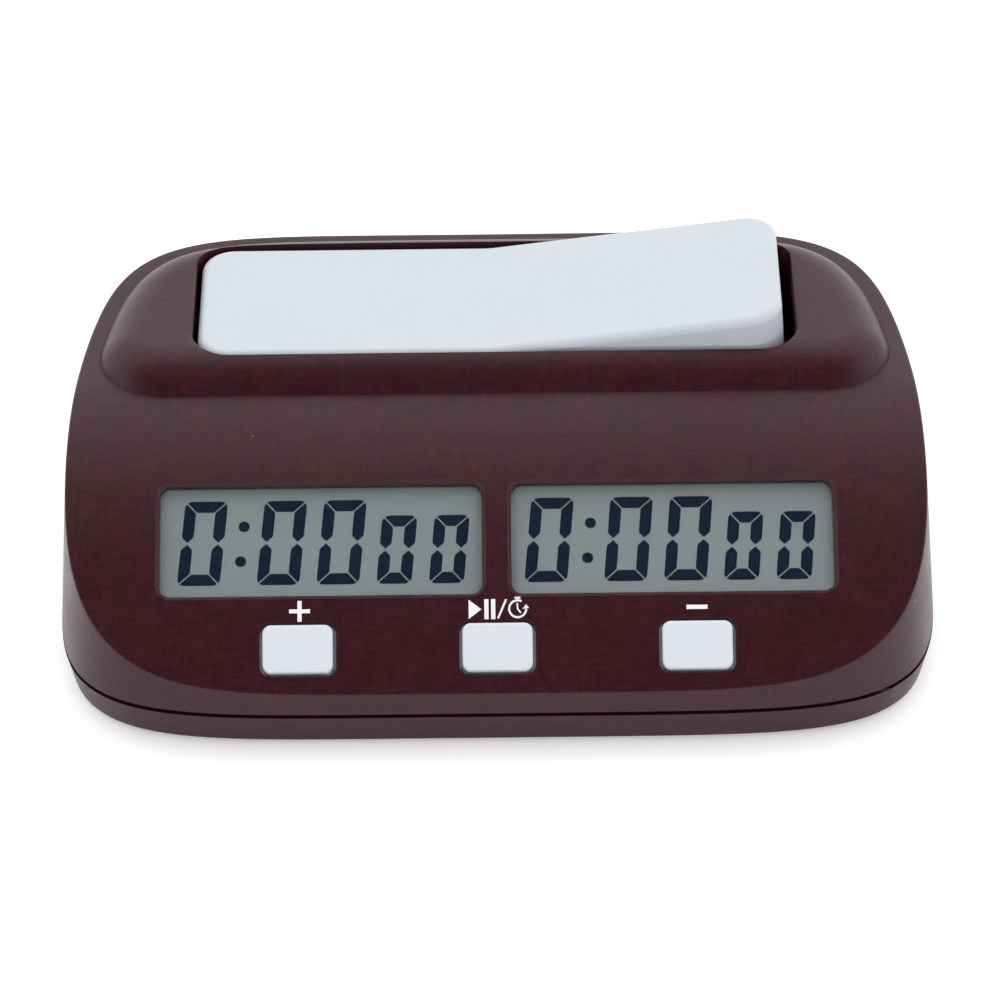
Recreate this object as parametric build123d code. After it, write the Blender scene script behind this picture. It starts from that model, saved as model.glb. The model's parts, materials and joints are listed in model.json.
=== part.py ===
from build123d import *
from math import atan2, cos, pi, radians, sin, tan
import os

# Tabletop chess clock: a two-part case with a sloping face, a see-saw rocker in a raised pod,
# two segment displays behind windows and three keys below them.
# X runs along the width, Y from the front to the back, Z up. The feet stand on Z = 0, and the
# origin is under the middle of the case. All lengths are in millimetres, all angles in degrees.

# ---------------------------------------------------------------- case
CASE_WIDTH = 157.0           # across the middle of the outline's depth
CASE_DEPTH = 102.0
FRONT_POWER = 5.9            # superellipse exponents of the outline's two halves
BACK_POWER = 6.5
TAPER = 0.045                # how much narrower the back is, as a share of the half width
BULGE = 0.08                 # how much narrower both ends are, as a share of the half width
DRAFT = 0.035                # lean of the front and back walls, mm per mm of height
SIDE_DRAFT = 0.075           # lean of the side walls
OUTLINE_POINTS = 64
WALL = 2.0
SEAM_LOW, SEAM_HIGH = 7.1, 7.9   # the shadow gap between the two halves of the case
SEAM_DEPTH = 0.8
FRONT_EDGE_Z = 12.1          # height of the crease between the front wall and the face
FACE_TOP_Z = 42.0
FACE_RUN = 54.0              # depth over which the face rises to its top
CREASE_RADIUS = 0.7
HALF_DEPTH = CASE_DEPTH / 2
SPAN = CASE_WIDTH            # half length of tools that run right through the case

# ---------------------------------------------------------------- pod and rocker
SHOULDER = 4.5               # pod outline's inset from the case outline
POD_FRONT_Y = -2.3
POD_TOP_Z = 47.0
POD_BASE_Z = 36.0
POD_CORNER = 13.0
POD_EDGE = 9.0
ROCKER_LENGTH = 54.0         # along one arm, from the foot of the pivot's normal
ROCKER_WIDTH = 34.0
ROCKER_Y = 22.3
ROCKER_TOP_Z = 46.3          # upper surface of the arm that is down
ROCKER_CORNER = 6.0
ROCKER_EDGE = 1.5
ROCKER_SKIRT = 12.0
ROCKER_SHELL = 2.0
BEND_RADIUS = 20.0
HALF_SWING = 3.7
PIVOT_Z = 34.0
PIN_RADIUS = 1.45
PIN_RUNNING_GAP = 0.08
HUB_RADIUS = 2.7
WELL_GAP = 0.8
WELL_WALL = 1.6
WELL_FLOOR_Z = 30.6
WELL_FLOOR_THICKNESS = 1.6
SLEEVE_TOP_Z = 45.6          # upper end of the well's walls, within the pod's thickness
BOSS_REACH = 2.5             # length of the bosses that hold the pin behind the well's walls
WELL_FRONT_Y = ROCKER_Y - ROCKER_WIDTH / 2 - WELL_GAP - WELL_WALL
WELL_BACK_Y = ROCKER_Y + ROCKER_WIDTH / 2 + WELL_GAP + WELL_WALL

# ---------------------------------------------------------------- displays, in the display plane
# u runs along the width, v up the slope and w out of the face.
WINDOW_LOW_Y, WINDOW_LOW_Z = -38.05, 24.8
WINDOW_HIGH_Y, WINDOW_HIGH_Z = -20.85, 36.25
WINDOW_WIDTH, WINDOW_HEIGHT = 57.1, 20.7
WINDOW_U = 31.15
WINDOW_CORNER = 2.0
WINDOW_CHAMFER = 0.7
PAD_W = -2.2                 # flat seat of the lenses behind the windows
LENS_THICKNESS = 0.8
LCD_WIDTH, LCD_HEIGHT = 59.6, 24.0
LCD_TOP_W = -3.05
LCD_GLASS = 0.9              # each of the two sheets
LCD_LEDGE = 2.4              # contact ledge of the rear sheet, below the front sheet
BOARD_TOP_W = -9.5
BOARD_THICKNESS = 1.2
BOARD_WIDTH = 120.0
BOARD_LOW_V, BOARD_HIGH_V = -25.4, 18.5
BOARD_CORNER = 9.0

# ---------------------------------------------------------------- keys
KEY_PITCH = 35.2
KEY_V = -19.95
KEY_WIDTH, KEY_HEIGHT = 12.4, 8.3
KEY_CORNER = 1.5
KEY_SLOPE = 11.2             # extra slope of the face at the keys, against the display plane
KEY_FACE_W = -1.6            # height of the face at the middle of a key
KEY_PROUD = 1.1
KEY_GAP = 0.35
KEY_BEVEL = 0.3              # bevel around the key holes
KEY_TRAVEL = 0.5
FLANGE_RIM = 0.9
FLANGE_DROP = 2.25           # from the face to the flange under it
FLANGE_THICKNESS = 1.0
TACT_SIZE = 6.0
STEM_RADIUS = 1.7
STEM_BORE = 1.78

# ---------------------------------------------------------------- rocker switches
RELEASE = 0.3                # travel of a rocker switch's plunger
PEG_GAP = 0.3                # height of a peg's middle over the pressed plunger
PEG_ARM = 22.0               # peg's distance from the pivot, in the level rocker
PEG_RADIUS = 1.6
PLUNGER_TOP_Z = 31.3         # upper end of a pressed plunger
TACT_TOP_Z = 28.8
TACT_HEIGHT = 3.5
SWITCH_BOARD_SCREWS = (-11.0, 11.0)

# ---------------------------------------------------------------- base
BASE_Z = 1.0
FLOOR_Z = 3.0
BASE_INSET = 1.2
BASE_EDGE = 0.9
BASE_WALL = 3.2
LIP_TOP_Z = 9.4
LIP_GAP = 0.25
FOOT_RADIUS, FOOT_HEIGHT = 5.0, 2.0
FOOT_PLACES = [(-56.0, -34.0), (56.0, -34.0), (-48.0, 39.0), (48.0, 39.0)]
CASE_SCREW_PLACES = [(-67.0, -27.0), (67.0, -27.0), (-62.0, 33.0), (62.0, 33.0)]
SCREW_RADIUS, SCREW_LENGTH = 1.4, 12.0
SCREW_HEAD_RADIUS, SCREW_HEAD_HEIGHT = 2.8, 1.8
SCREW_SEAT_Z = 4.5
POST_RADIUS, POST_TOP_Z = 4.2, 7.0
BOSS_RADIUS = 3.2
SMALL_SCREW_RADIUS, SMALL_SCREW_LENGTH = 0.9, 5.0
SMALL_HEAD_RADIUS, SMALL_HEAD_HEIGHT = 1.7, 1.1
SMALL_BOSS_RADIUS = 2.0
BOARD_SCREWS = [(-45.0, 16.0), (45.0, 16.0), (-53.0, -20.5), (-17.6, -20.5), (17.6, -20.5), (53.0, -20.5)]
SCREW_SLACK = 0.02

# ---------------------------------------------------------------- battery
BATTERY_RADIUS, BATTERY_LENGTH = 7.1, 49.2
BATTERY_Z = 10.5
BAY_Y = 12.0
BAY_HALF_X, BAY_HALF_Y = 29.5, 10.0
BAY_ROOF_Z = 18.4
BAY_WALL = 1.5
DOOR_HALF_X, DOOR_HALF_Y = 29.0, 9.5
DOOR_THICKNESS = 1.8
DOOR_GAP = 0.3
TAB_X, TAB_WIDTH = 18.0, 6.0
SHEET = 0.4                  # thickness of the contact metal
TAIL_Z = 15.0                # height of the contacts' soldering tails

# ---------------------------------------------------------------- sounder and power switch
SOUNDER_X, SOUNDER_Y = -50.0, -4.0
SOUNDER_RADIUS = 13.5
SOUNDER_Z = 4.2
POWER_X, POWER_Y = 49.0, 12.0
POWER_TRAVEL = 2.5
LEAD_DIAMETER = 1.2


# ================================================================ helpers
def block(x, y, z):
    """Box between two corners, each axis given as (low, high)."""
    size = Box(x[1] - x[0], y[1] - y[0], z[1] - z[0])
    return Pos((x[0] + x[1]) / 2, (y[0] + y[1]) / 2, (z[0] + z[1]) / 2) * size


def disc(radius, low, high, x=0.0, y=0.0):
    """Upright cylinder between two heights."""
    return Pos(x, y, (low + high) / 2) * Cylinder(radius, high - low)


def plate(width, height, corner, low, high, x=0.0, y=0.0):
    """Flat plate with rounded corners between two heights."""
    return Pos(x, y, low) * extrude(RectangleRounded(width, height, corner), amount=high - low)


def outline(inset, z, side_lean=0.0):
    """Case outline at a height: a superellipse, narrower at its ends, pulled in by the inset."""
    half_width = CASE_WIDTH / 2 - inset - side_lean
    half_depth = HALF_DEPTH - inset
    points = []
    for i in range(OUTLINE_POINTS):
        angle = pi / 2 + 2 * pi * i / OUTLINE_POINTS
        across, along = cos(angle), sin(angle)
        power = BACK_POWER if along > 0 else FRONT_POWER
        reach = (abs(across) ** power + abs(along) ** power) ** (-1 / power)
        share = reach * along
        narrow = 1 - TAPER * share - BULGE * share * share
        points.append((half_width * reach * across * narrow, half_depth * share, z))
    return make_face(Spline(*points, periodic=True))


def leaning_block(inset, low, high):
    """The case outline between two heights, leaning in with the draft above the seam."""
    ends = [(inset + DRAFT * (z - SEAM_LOW), z, (SIDE_DRAFT - DRAFT) * (z - SEAM_LOW)) for z in (low, high)]
    return loft([outline(*end) for end in ends])


def under_face(depth):
    """Everything below the sloping face, lowered by a depth along its normals."""
    slope = (FACE_TOP_Z - FRONT_EDGE_Z) / (FACE_RUN / 2)
    pitch = atan2(slope, 1)
    start = (-HALF_DEPTH + depth * sin(pitch), FRONT_EDGE_Z - depth * cos(pitch))
    top = FACE_TOP_Z - depth
    knee = (start[0] + (top - start[1]) / slope, top)
    end = (FACE_RUN - HALF_DEPTH, top)
    lead_in = 8.0
    foot = (start[0] - lead_in, start[1] - lead_in * slope)
    far, low = HALF_DEPTH + lead_in, -lead_in
    edges = Polyline(end, (far, top), (far, low), (foot[0], low), foot, start)
    profile = make_face(edges + Bezier(start, knee, end))
    return extrude(Plane.YZ * profile, amount=SPAN, both=True)


def pod_block(inset, top, edge):
    """The raised pod: the case outline pulled in, cut off at the front and rounded over."""
    body = extrude(outline(SHOULDER + inset, POD_BASE_Z), amount=top - POD_BASE_Z)
    body &= block((-SPAN, SPAN), (POD_FRONT_Y + inset, SPAN), (0, SPAN))
    corners = body.edges().filter_by(lambda e: abs((e % 0.5).Z) > 0.99).sort_by(Axis.Y)[:2]
    body = fillet(corners, POD_CORNER - inset)
    return fillet(body.edges().group_by(Axis.Z)[-1], edge)


def well_block(grow, low, high):
    """The rocker's well, or its sleeve when grown."""
    reach = ROCKER_LENGTH + WELL_GAP + grow
    width = ROCKER_WIDTH + 2 * (WELL_GAP + grow)
    return plate(2 * reach, width, ROCKER_CORNER + WELL_GAP + grow, low, high, y=ROCKER_Y)


def rod_along_y(radius, low, high, x=0.0, z=0.0):
    """Cylinder along Y between two depths."""
    return Pos(x, (low + high) / 2, z) * Rot(90, 0, 0) * Cylinder(radius, high - low)


def rod_along_x(radius, low, high, y=0.0, z=0.0):
    """Cylinder along X between two places."""
    return Pos((low + high) / 2, y, z) * Rot(0, 90, 0) * Cylinder(radius, high - low)


def screw(radius, length, head_radius, head_height):
    """Pan-head screw pointing up, its seat on Z = 0, with a cross recess in the head."""
    body = disc(head_radius, -head_height, 0) + disc(radius, 0, length)
    body = fillet(body.edges().group_by(Axis.Z)[0], head_height * 0.4)
    arm, slot, depth = head_radius * 0.6, head_radius * 0.18, head_height * 0.55
    for half_x, half_y in ((arm, slot), (slot, arm)):
        body -= block((-half_x, half_x), (-half_y, half_y), (-head_height - 1, depth - head_height))
    return body


def lead(*points):
    """Round wire through the points, with the largest arc at each corner that its runs allow."""
    spots = [Vector(*p) for p in points]
    radii = []
    for before, at, after in zip(spots, spots[1:], spots[2:]):
        turn = (at - before).get_angle(after - at)
        run = min((at - before).length, (after - at).length)
        radii.append(0.45 * run / tan(radians(turn / 2)))
    path = FilletPolyline(*spots, radius=radii) if radii else Line(*spots)
    return sweep(Plane(origin=path @ 0, z_dir=path % 0) * Circle(LEAD_DIAMETER / 2), path=path)


display_pitch = atan2(WINDOW_HIGH_Z - WINDOW_LOW_Z, WINDOW_HIGH_Y - WINDOW_LOW_Y)
display = Plane(
    origin=(0, (WINDOW_LOW_Y + WINDOW_HIGH_Y) / 2, (WINDOW_LOW_Z + WINDOW_HIGH_Z) / 2),
    x_dir=(1, 0, 0),
    z_dir=(0, -sin(display_pitch), cos(display_pitch)),
).location
key_columns = {"plus": -KEY_PITCH, "play_pause": 0.0, "minus": KEY_PITCH}
windows = {"left": -WINDOW_U, "right": WINDOW_U}


def key_plane(u, w):
    """Plane parallel to the face at a key, through the given height over the display plane."""
    return Pos(u, KEY_V, w) * Rot(KEY_SLOPE, 0, 0)


def at_pivot(shape):
    """A shape drawn around the level rocker's pivot, put where the left arm is down."""
    return Pos(0, ROCKER_Y, PIVOT_Z) * Rot(0, -HALF_SWING, 0) * shape


def rest_place(x, z):
    """Where a point of the level rocker, measured from the pivot, stands at rest."""
    swing = radians(HALF_SWING)
    return x * cos(swing) - z * sin(swing), x * sin(swing) + z * cos(swing) + PIVOT_Z


# the level rocker's own measures, from its rest pose
swing = radians(HALF_SWING)
arm_height = ROCKER_TOP_Z - PIVOT_Z
level_reach = ROCKER_LENGTH * cos(swing) - arm_height * sin(swing)
bend_height = arm_height / cos(swing)
peg_low = (PLUNGER_TOP_Z + PEG_GAP - PIVOT_Z + PEG_ARM * sin(swing)) / cos(swing)
plunger_x = -rest_place(-PEG_ARM, peg_low)[0]


# ================================================================ upper case
def bosses():
    """Everything that hangs from the inside of the cover, trimmed halfway into its wall."""
    trim = leaning_block(WALL / 2, 0, FACE_TOP_Z) & under_face(WALL / 2)
    pad_u, pad_v = WINDOW_U + LCD_WIDTH / 2 + 1.5, LCD_HEIGHT / 2 + 1.5
    raw = [display * block((-pad_u, pad_u), (-pad_v, pad_v), (PAD_W, 3))]
    raw += [disc(BOSS_RADIUS, POST_TOP_Z, SPAN / 3, x, y) for x, y in CASE_SCREW_PLACES]
    raw += [display * disc(SMALL_BOSS_RADIUS, BOARD_TOP_W, 3, u, v) for u, v in BOARD_SCREWS]
    return [piece & trim for piece in raw]


def well_parts():
    """Sleeve of the rocker's well, with the pin's bosses and the switch board's bosses."""
    sleeve = well_block(WELL_WALL, WELL_FLOOR_Z - WELL_FLOOR_THICKNESS, SLEEVE_TOP_Z)
    holder = HUB_RADIUS + 0.5
    parts = [sleeve]
    parts.append(rod_along_y(holder, WELL_FRONT_Y - BOSS_REACH, WELL_FRONT_Y + 1, z=PIVOT_Z))
    parts.append(rod_along_y(holder, WELL_BACK_Y - 1, WELL_BACK_Y + BOSS_REACH, z=PIVOT_Z))
    for x in SWITCH_BOARD_SCREWS:
        parts.append(disc(SMALL_BOSS_RADIUS + 0.4, TACT_TOP_Z - TACT_HEIGHT, WELL_FLOOR_Z - 1, x, ROCKER_Y))
    return parts


def well_stops():
    """Two ribs on the well's floor, just under the ends of the rocker's skirt."""
    end_x, end_z = rest_place(-level_reach, bend_height + level_reach * tan(swing) - ROCKER_SKIRT)
    ribs = []
    for side in (-1, 1):
        middle = side * (-end_x - 1)
        heights = (WELL_FLOOR_Z - 1, end_z - 0.3)
        ribs.append(block((middle - 1, middle + 1), (ROCKER_Y - 8, ROCKER_Y + 8), heights))
    return ribs


def face_openings():
    """Tools for the windows, the seats of their lenses and the key holes, square to the display plane."""
    bevel = 2 * WINDOW_CHAMFER
    tools = [plate(WINDOW_WIDTH - bevel, WINDOW_HEIGHT - bevel, WINDOW_CORNER - WINDOW_CHAMFER, -8, 8, x=u)
             for u in windows.values()]
    slack = 2 * KEY_GAP
    tools += [plate(KEY_WIDTH + slack, KEY_HEIGHT + slack, KEY_CORNER + KEY_GAP, -8, 8, u, KEY_V)
              for u in key_columns.values()]
    seat_u, seat_v = LCD_WIDTH / 2 + 0.1, LCD_HEIGHT / 2 + 0.1
    tools += [block((u - seat_u, u + seat_u), (-seat_v, seat_v), (-8, PAD_W)) for u in windows.values()]
    return [display * tool for tool in tools]


def face_height(y):
    """Height of the sloping face at a depth."""
    run = min((y + HALF_DEPTH) / FACE_RUN, 1)
    return FRONT_EDGE_Z + (FACE_TOP_Z - FRONT_EDGE_Z) * (2 * run - run * run)


def opening_edges(shell, low_y, high_y):
    """Edges of the openings in the outer face between two depths."""
    half = WINDOW_U + WINDOW_WIDTH / 2 + 1

    def on_rim(edge):
        points = [edge @ t for t in (0, 0.25, 0.5, 0.75, 1)]
        return all(abs(p.X) < half and low_y < p.Y < high_y and abs(p.Z - face_height(p.Y)) < 0.02
                   for p in points)

    return [edge for edge in shell.edges() if on_rim(edge)]


def upper_case():
    """Moulded cover: sloping face, pod, rocker well, windows, key holes and bosses."""
    body = leaning_block(0, SEAM_HIGH, FACE_TOP_Z + 2) & under_face(0)
    crease = body.edges().filter_by(GeomType.LINE, reverse=True)
    crease = crease.filter_by(lambda e: e.center().Z > SEAM_HIGH + 1)
    body = fillet(crease, CREASE_RADIUS) + pod_block(0, POD_TOP_Z, POD_EDGE)
    hollow = leaning_block(WALL, 0, FACE_TOP_Z) & under_face(WALL)
    pod_hollow = pod_block(WALL, POD_TOP_Z - WALL, POD_EDGE - WALL)
    hollow += pod_hollow & block((-SPAN, SPAN), (-SPAN, WELL_BACK_Y - WELL_WALL / 2), (0, SPAN))
    shell = body - hollow + (bosses() + well_parts())

    cuts = [well_block(0, WELL_FLOOR_Z, SPAN / 2)] + face_openings()
    cuts.append(rod_along_y(PIN_RADIUS + SCREW_SLACK, WELL_FRONT_Y - BOSS_REACH,
                            WELL_BACK_Y + BOSS_REACH, z=PIVOT_Z))
    cuts += [disc(STEM_RADIUS + 0.5, 0, WELL_FLOOR_Z + 1, side * plunger_x, ROCKER_Y) for side in (-1, 1)]
    pilot = SMALL_SCREW_RADIUS + SCREW_SLACK
    cuts += [disc(pilot, 20, WELL_FLOOR_Z - 1.2, x, ROCKER_Y) for x in SWITCH_BOARD_SCREWS]
    cuts += [disc(SCREW_RADIUS + SCREW_SLACK, 0, SCREW_SEAT_Z + SCREW_LENGTH + 1, x, y)
             for x, y in CASE_SCREW_PLACES]
    cuts += [display * disc(pilot, BOARD_TOP_W - 1, BOARD_TOP_W + SMALL_SCREW_LENGTH, u, v)
             for u, v in BOARD_SCREWS]
    shell -= cuts
    shell += well_stops()
    shell = chamfer(opening_edges(shell, WINDOW_LOW_Y - 1, WINDOW_HIGH_Y + 1), WINDOW_CHAMFER)
    return chamfer(opening_edges(shell, -HALF_DEPTH + 1.5, WINDOW_LOW_Y - 2), KEY_BEVEL)


# ================================================================ rocker and its switches
def rocker_slab(drop, depth):
    """Slab between the rocker's V-shaped top, lowered by a drop, and its parallel underside."""
    reach = level_reach + 10
    rise = reach * tan(swing)
    top, low = bend_height - drop, bend_height - depth
    face = make_face(Polyline((-reach, top + rise), (0, top), (reach, top + rise),
                              (reach, low + rise), (0, low), (-reach, low + rise), close=True))
    face = fillet(face.vertices().filter_by_position(Axis.X, -1, 1), BEND_RADIUS)
    return extrude(Plane.XZ * face, amount=ROCKER_WIDTH, both=True)


def rocker():
    """See-saw key cap: a V-shaped shell on a hub, with a peg over each switch."""
    body = plate(2 * level_reach, ROCKER_WIDTH, ROCKER_CORNER, -SPAN / 4, SPAN / 4)
    body &= rocker_slab(0, ROCKER_SKIRT)
    tops = body.faces().filter_by(lambda f: f.normal_at().Z > 0.9)
    seams = [e for f in tops for e in f.edges()]
    rim = [e for e in seams if sum(e.is_same(other) for other in seams) == 1]
    body = fillet(rim, ROCKER_EDGE)
    inside = plate(2 * (level_reach - ROCKER_SHELL), ROCKER_WIDTH - 2 * ROCKER_SHELL,
                   ROCKER_CORNER - ROCKER_SHELL, -SPAN / 4, SPAN / 4)
    inside &= rocker_slab(ROCKER_SHELL, ROCKER_SKIRT + 5)
    body -= inside
    half_width = ROCKER_WIDTH / 2
    body += rod_along_y(HUB_RADIUS, -half_width, half_width)
    web_top = bend_height - ROCKER_SHELL / 2
    body += block((-1, 1), (-half_width + 1, half_width - 1), (0, web_top))
    for side in (-1, 1):
        peg_top = bend_height + PEG_ARM * tan(swing) - ROCKER_SHELL / 2
        body += disc(PEG_RADIUS, peg_low, peg_top, side * PEG_ARM)
        rib_x = side * PEG_ARM
        body += block((rib_x - 0.6, rib_x + 0.6), (-half_width + 1, half_width - 1), (peg_top - 5, peg_top))
    body -= rod_along_y(PIN_RADIUS + PIN_RUNNING_GAP, -half_width - 1, half_width + 1)
    return at_pivot(body)


def pivot_pin():
    """Steel pin between the well's two walls."""
    reach = ROCKER_WIDTH / 2 + WELL_GAP + WELL_WALL + BOSS_REACH - 0.5
    pin = rod_along_y(PIN_RADIUS, ROCKER_Y - reach, ROCKER_Y + reach, z=PIVOT_Z)
    return chamfer(pin.edges().filter_by(GeomType.CIRCLE), 0.3)


def tact_body(height):
    """Square push-switch body standing on Z = 0, with the bore that its stem slides in."""
    half = TACT_SIZE / 2
    body = block((-half, half), (-half, half), (0, height))
    body = fillet(body.edges().filter_by(Axis.Z), 0.5)
    body -= disc(STEM_BORE, 0.4, height + 1)
    for side in (-1, 1):
        for v in (-2.25, 2.25):
            body += block((side * half, side * (half + 0.8))[::side], (v - 0.35, v + 0.35), (0, 0.3))
    return body


def stem(low, high):
    """Round switch stem with an eased upper end."""
    return chamfer(disc(STEM_RADIUS, low, high).edges().group_by(Axis.Z)[-1], 0.2)


def switch_board():
    """Small circuit board under the well, carrying the rocker's two switches."""
    top = TACT_TOP_Z - TACT_HEIGHT
    board = plate(60, 14, 1, top - BOARD_THICKNESS, top, y=ROCKER_Y)
    for x in SWITCH_BOARD_SCREWS:
        board -= disc(SMALL_SCREW_RADIUS + 0.2, top - 5, top + 1, x, ROCKER_Y)
    return board


# ================================================================ display and main board
def lcd(u):
    """Two glass sheets; the rear one has a contact ledge along its lower edge."""
    half, low, high = LCD_WIDTH / 2, -LCD_HEIGHT / 2, LCD_HEIGHT / 2
    front = block((u - half, u + half), (low + LCD_LEDGE, high), (LCD_TOP_W - LCD_GLASS, LCD_TOP_W))
    rear = block((u - half, u + half), (low, high), (LCD_TOP_W - 2 * LCD_GLASS, LCD_TOP_W - LCD_GLASS))
    return display * (front + rear)


def zebra_strip(u):
    """Elastomer connector between the ledge of a display and the main board."""
    v = -LCD_HEIGHT / 2 + LCD_LEDGE / 2
    half = LCD_WIDTH / 2 - 2.5
    return display * block((u - half, u + half), (v - 0.9, v + 0.9), (BOARD_TOP_W, LCD_TOP_W - 2 * LCD_GLASS))


def lcd_holder():
    """Moulded frame on the main board that carries both displays."""
    half_u, half_v = WINDOW_U + LCD_WIDTH / 2 + 1.3, LCD_HEIGHT / 2 + 1.3
    shelf = LCD_TOP_W - 2 * LCD_GLASS
    frame = plate(2 * half_u, 2 * half_v, 1.5, BOARD_TOP_W, LCD_TOP_W - 0.1)
    for u in windows.values():
        frame -= block((u - LCD_WIDTH / 2 - 0.15, u + LCD_WIDTH / 2 + 0.15),
                       (-LCD_HEIGHT / 2 - 0.15, LCD_HEIGHT / 2 + 0.15), (shelf, 0))
        v = -LCD_HEIGHT / 2 + LCD_LEDGE / 2
        reach = LCD_WIDTH / 2 - 2.4
        frame -= block((u - reach, u + reach), (v - 1, v + 1), (BOARD_TOP_W - 1, 0))
        frame -= block((u - reach, u + reach), (v + 3, LCD_HEIGHT / 2 - 2), (BOARD_TOP_W - 1, 0))
    return display * frame


def main_board():
    """Circuit board behind the displays and keys, on six bosses of the upper case."""
    middle = (BOARD_LOW_V + BOARD_HIGH_V) / 2
    low = BOARD_TOP_W - BOARD_THICKNESS
    board = plate(BOARD_WIDTH, BOARD_HIGH_V - BOARD_LOW_V, BOARD_CORNER, low, BOARD_TOP_W, y=middle)
    for u, v in BOARD_SCREWS:
        board -= disc(SMALL_SCREW_RADIUS + 0.2, BOARD_TOP_W - 5, BOARD_TOP_W + 1, u, v)
    return display * board


def rear_part(shape, u, v):
    """Puts a component, drawn standing on Z = 0, on the rear of the main board."""
    return display * Pos(u, v, BOARD_TOP_W - BOARD_THICKNESS) * Rot(180, 0, 0) * shape


def controller():
    """Epoxy blob over the bonded chip."""
    blob = disc(6, 0, 1.8)
    return fillet(blob.edges().group_by(Axis.Z)[-1], 1.5)


def chips(places, size):
    """Small surface-mounted components of one size."""
    width, depth, height = size
    cap = [block((u - width / 2, u + width / 2), (v - depth / 2, v + depth / 2), (0, height))
           for u, v in places]
    return Compound(cap)


def key_cap(u):
    """Key with a pillowed top, a flange that holds it in the case and a foot over its switch."""
    prism = plate(KEY_WIDTH, KEY_HEIGHT, KEY_CORNER, -6, 4, u, KEY_V)
    cap = prism & (key_plane(u, KEY_FACE_W) * block((-20, 20), (-20, 20), (-FLANGE_DROP - 0.5, KEY_PROUD)))
    cap = fillet(cap.edges().group_by(Axis.Z)[-1] + cap.faces().sort_by(Axis.Z)[-1].edges(), 0.7)
    flange = plate(KEY_WIDTH + 2 * FLANGE_RIM, KEY_HEIGHT + 2 * FLANGE_RIM, KEY_CORNER, -12, 4, u, KEY_V)
    low = -FLANGE_DROP - FLANGE_THICKNESS
    flange &= key_plane(u, KEY_FACE_W) * block((-20, 20), (-20, 20), (low, -FLANGE_DROP))
    return display * (cap + flange + disc(2.2, key_foot_w, KEY_FACE_W + low + 1, u, KEY_V))


key_foot_w = KEY_FACE_W - FLANGE_DROP - FLANGE_THICKNESS - 0.4
key_tact_height = 3.2


# ================================================================ base
def bay_cuts():
    """Inside of the battery bay, its door opening, contact slots, tab slots and thumb notch."""
    open_x, open_y = DOOR_HALF_X + DOOR_GAP, DOOR_HALF_Y + DOOR_GAP
    outer_x, outer_y = BAY_HALF_X + BAY_WALL, BAY_HALF_Y + BAY_WALL
    cuts = [block((-BAY_HALF_X, BAY_HALF_X), (BAY_Y - BAY_HALF_Y, BAY_Y + BAY_HALF_Y), (FLOOR_Z, BAY_ROOF_Z)),
            block((-open_x, open_x), (BAY_Y - open_y, BAY_Y + open_y), (0, FLOOR_Z + 0.1))]
    for side in (-1, 1):
        across = sorted((side * (BAY_HALF_X - 0.5), side * (outer_x + 0.5)))
        cuts.append(block(across, (BAY_Y - 2, BAY_Y + 2), (TAIL_Z - 0.3, TAIL_Z + 0.7)))
        tab, reach = side * TAB_X, TAB_WIDTH / 2 + 0.5
        wall = (BAY_Y - outer_y - 0.5, BAY_Y - BAY_HALF_Y + 0.5)
        cuts.append(block((tab - reach, tab + reach), wall, (FLOOR_Z, 6.5)))
    cuts.append(rod_along_x(9.0, -6, 6, y=BAY_Y + open_y + 3, z=BASE_Z - 8.2))
    return cuts


def bay_ribs():
    """Ribs that hold the cell sideways in its bay."""
    ribs = []
    for side in (-1, 1):
        across = sorted((BAY_Y + side * (BATTERY_RADIUS + 0.25), BAY_Y + side * (BAY_HALF_Y + 0.5)))
        ribs += [block((x - 0.7, x + 0.7), across, (7.5, BAY_ROOF_Z + 0.5)) for x in (-14.0, 14.0)]
    return ribs


def sound_holes():
    """Round holes under the sounder, in two rings about a middle one."""
    holes = []
    for count, radius in ((1, 0.0), (6, 4.0), (12, 8.0)):
        for i in range(count):
            angle = 2 * pi * i / count
            x, y = SOUNDER_X + radius * cos(angle), SOUNDER_Y + radius * sin(angle)
            holes.append(disc(0.9, 0, FLOOR_Z + 1, x, y))
    return holes


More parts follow.
